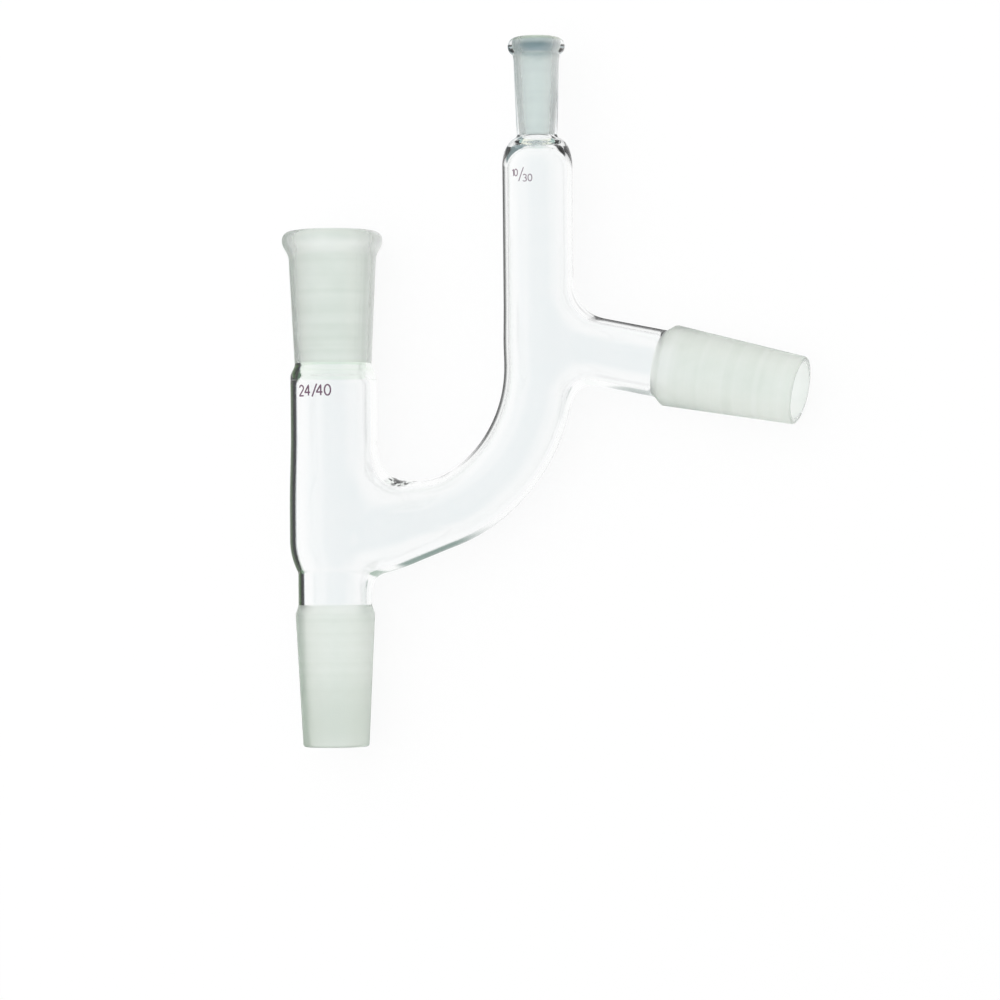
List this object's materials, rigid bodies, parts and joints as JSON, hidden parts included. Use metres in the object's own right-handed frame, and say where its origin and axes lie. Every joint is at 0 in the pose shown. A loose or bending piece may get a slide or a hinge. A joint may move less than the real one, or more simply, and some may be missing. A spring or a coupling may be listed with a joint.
{
  "type": "distillation head",
  "caption": "One-piece blown glass distilling head: straight column with a ground socket above and cone below, bent arm to a parallel tube with a small beaded socket, and a drooping side cone",
  "frame": {"origin": "centre of the lower cone's open end, on the column's axis", "axes": "+Y runs up the column from the lower cone to the large socket, +X from the column towards the upright tube and the side arm, and +Z is square to the plane that all the tubes share. The head lies flat in that plane, as it comes to rest with nothing holding it."},
  "size_m": [0.1625, 0.211, 0.0304],
  "materials": {
    "clear_glass": "clear flame-polished borosilicate glass, ground to a fine matt finish on the outside of both cones and the inside of all sockets"
  },
  "bodies": {
    "root": {"glass_head": "clear_glass"}
  },
  "joints": []
}
